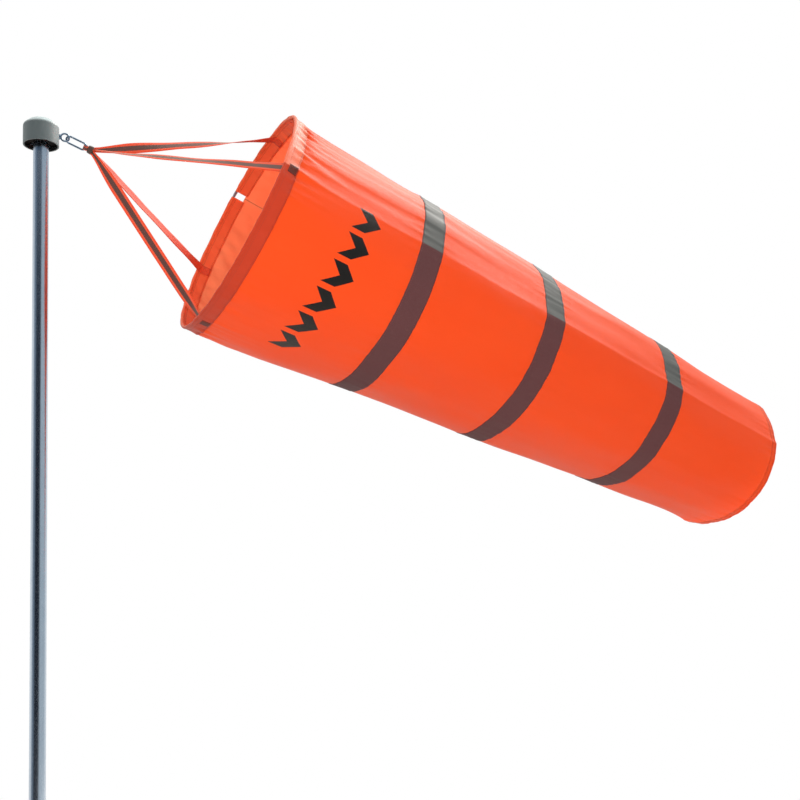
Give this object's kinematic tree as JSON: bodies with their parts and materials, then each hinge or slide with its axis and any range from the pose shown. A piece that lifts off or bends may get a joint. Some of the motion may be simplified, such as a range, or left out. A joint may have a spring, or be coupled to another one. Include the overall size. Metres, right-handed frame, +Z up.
{
  "type": "windsock with pole",
  "caption": "Tapered cloth windsock with reflective bands, held by straps and a spring snap from a ball-bearing swivel cap on a tubular mast.",
  "frame": {"origin": "centre of the mast's foot, at the mouth of the foot socket", "axes": "+Z up the mast, +X the way the sock flies at rest, +Y to the left of the sock as seen from the mast"},
  "size_m": [1.9112, 0.5298, 2.3201],
  "materials": {
    "mast_steel": "satin galvanised tube",
    "plug_aluminium": "turned",
    "bearing_steel": "ground and polished",
    "zinc_steel": "zinc plated",
    "cap_plastic": "fine satin moulding",
    "screw_steel": "zinc plated screws",
    "eye_steel": "polished stainless wire",
    "cage_plastic": "moulded nylon",
    "snap_steel": "bright zinc plated wire",
    "strap_webbing": "woven ribbon with a grey reflective centre",
    "hoop_steel": "drawn spring wire",
    "clear_tube": "clear flexible tube",
    "hem_cloth": "doubled woven polyester with rows of stitching",
    "sock_cloth": "plain woven polyester",
    "reflective_tape": "grey reflective tape"
  },
  "bodies": {
    "mast": {"mast_tube": "mast_steel", "mast_plug": "plug_aluminium", "spindle": "bearing_steel", "lower_inner_race": "bearing_steel", "upper_inner_race": "bearing_steel", "inner_spacer": "bearing_steel", "spindle_washer": "zinc_steel", "spindle_nut": "zinc_steel"},
    "head": {"head_cap": "cap_plastic", "retainer_plate": "zinc_steel", "retainer_screws": "screw_steel", "lower_outer_race": "bearing_steel", "upper_outer_race": "bearing_steel", "outer_spacer": "bearing_steel", "eye_bolt": "eye_steel", "eye_washer": "zinc_steel", "eye_nut": "zinc_steel"},
    "lower_ball_set": {"lower_balls": "bearing_steel", "lower_cage": "cage_plastic"},
    "upper_ball_set": {"upper_balls": "bearing_steel", "upper_cage": "cage_plastic"},
    "snap": {"snap_hook": "snap_steel", "gate_pin": "snap_steel"},
    "gate": {"snap_gate": "snap_steel"},
    "sock_front": {"strap_gather": "strap_webbing", "strap_near_top": "strap_webbing", "strap_near_bottom": "strap_webbing", "strap_far_bottom": "strap_webbing", "strap_far_top": "strap_webbing", "hoop": "hoop_steel", "hoop_connector": "clear_tube", "mouth_hem": "hem_cloth", "front_panel": "sock_cloth", "front_band": "reflective_tape", "second_panel": "sock_cloth"},
    "sock_middle": {"middle_band": "reflective_tape", "third_panel": "sock_cloth"},
    "sock_tail": {"rear_band": "reflective_tape", "tail_panel": "sock_cloth", "tail_edge": "hem_cloth"}
  },
  "joints": [
    {"name": "head_swivel", "type": "hinge", "parent": "mast", "child": "head", "pos_m": [0, 0, 2.196], "axis": [0, 0, 1], "continuous": true},
    {"name": "lower_ball_roll", "type": "hinge", "parent": "mast", "child": "lower_ball_set", "pos_m": [0, 0, 2.211], "axis": [0, 0, 1], "continuous": true},
    {"name": "upper_ball_roll", "type": "hinge", "parent": "mast", "child": "upper_ball_set", "pos_m": [0, 0, 2.225], "axis": [0, 0, 1], "continuous": true},
    {"name": "snap_droop", "type": "hinge", "parent": "head", "child": "snap", "pos_m": [0.046, 0, 2.22], "axis": [0, 1, 0], "range_deg": [-20, 27], "stiffness_Nm_per_rad": 26, "springref_deg": -19.88},
    {"name": "gate_hinge", "type": "hinge", "parent": "snap", "child": "gate", "pos_m": [0.07745, -0.00655, 2.21254], "axis": [-0.3002, -0.5736, -0.7622], "range_deg": [0, 20], "stiffness_Nm_per_rad": 0.02, "springref_deg": -17.19},
    {"name": "strap_pivot", "type": "hinge", "parent": "snap", "child": "sock_front", "pos_m": [0.08731, 0, 2.20373], "axis": [0, 1, 0], "range_deg": [-8, 8], "stiffness_Nm_per_rad": 25, "springref_deg": -19.65},
    {"name": "middle_fold", "type": "hinge", "parent": "sock_front", "child": "sock_middle", "pos_m": [0.91594, 0, 1.87732], "axis": [0, 1, 0], "range_deg": [-4, 25], "stiffness_Nm_per_rad": 5.7, "springref_deg": -19.71, "deforming": ["second_panel"]},
    {"name": "tail_fold", "type": "hinge", "parent": "sock_middle", "child": "sock_tail", "pos_m": [1.26345, 0, 1.74043], "axis": [0, 1, 0], "range_deg": [-4, 25], "stiffness_Nm_per_rad": 1.95, "springref_deg": -19.71, "deforming": ["third_panel"]}
  ],
  "couplings": [
    {"joint": "lower_ball_roll", "follows": "head_swivel", "ratio": 0.6322},
    {"joint": "upper_ball_roll", "follows": "head_swivel", "ratio": 0.6322}
  ]
}
